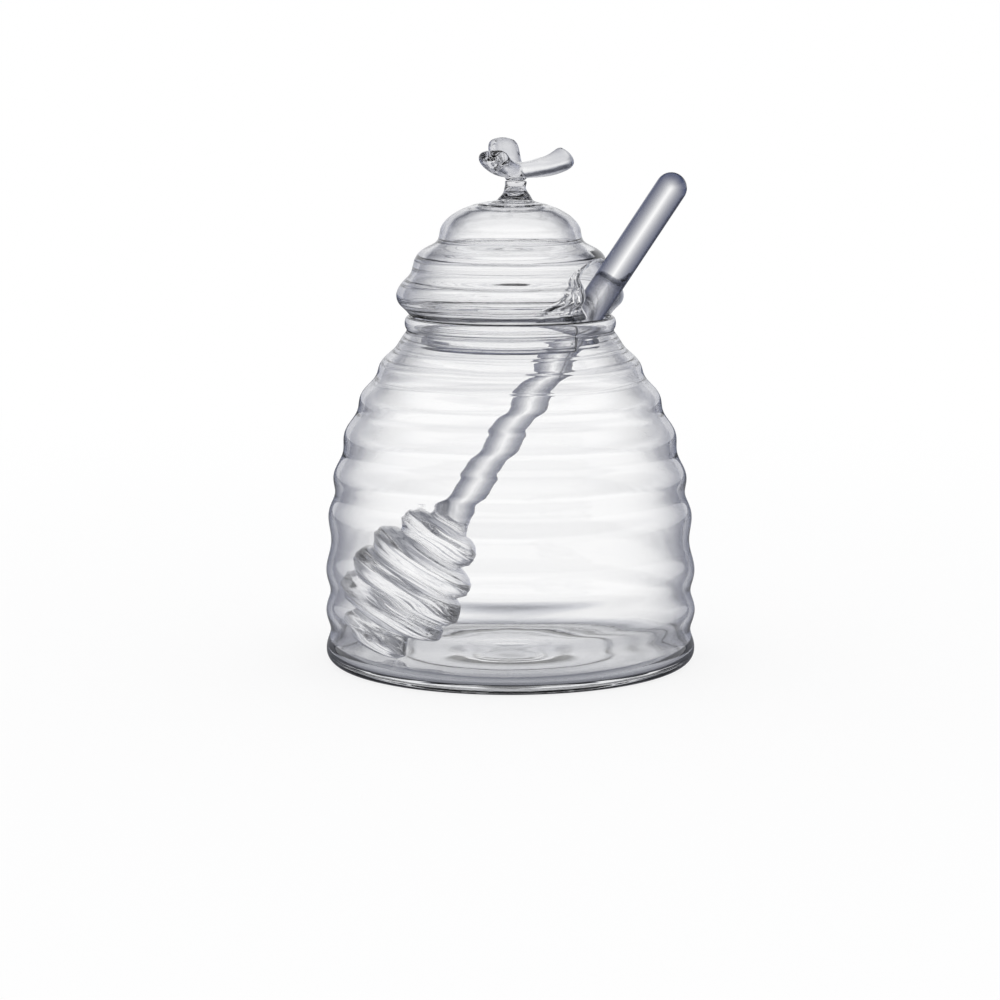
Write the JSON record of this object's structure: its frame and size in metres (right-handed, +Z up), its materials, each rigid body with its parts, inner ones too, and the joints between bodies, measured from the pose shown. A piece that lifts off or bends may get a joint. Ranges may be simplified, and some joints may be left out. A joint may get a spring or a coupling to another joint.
{
  "type": "honey pot",
  "caption": "Clear glass beehive-shaped honey pot with a lift-off lid, petal finial, lid notch and a ringed glass dipper.",
  "frame": {"origin": "centre of the jar's foot, on the surface that it stands on", "axes": "+Z up along the jar's axis; +X toward the side where the dipper leans out; -Y toward the side in the picture"},
  "size_m": [0.11, 0.11, 0.1544],
  "materials": {
    "jar_glass": "gloss",
    "lid_glass": "gloss",
    "finial_glass": "gloss",
    "dipper_glass": "gloss"
  },
  "bodies": {
    "jar": {"jar_body": "jar_glass"},
    "lid": {"lid_shell": "lid_glass", "finial_stem": "finial_glass", "petal_right": "finial_glass", "petal_back": "finial_glass", "petal_front": "finial_glass"},
    "dipper": {"dipper_rod": "dipper_glass", "dipper_head": "dipper_glass"}
  },
  "joints": [
    {"name": "lid_lift", "type": "slide", "parent": "jar", "child": "lid", "axis": [0, 0, 1], "range_m": [0, 0.07]},
    {"name": "dipper_draw", "type": "slide", "parent": "jar", "child": "dipper", "axis": [0.5514, 0.0426, 0.8332], "range_m": [0, 0.045]}
  ]
}
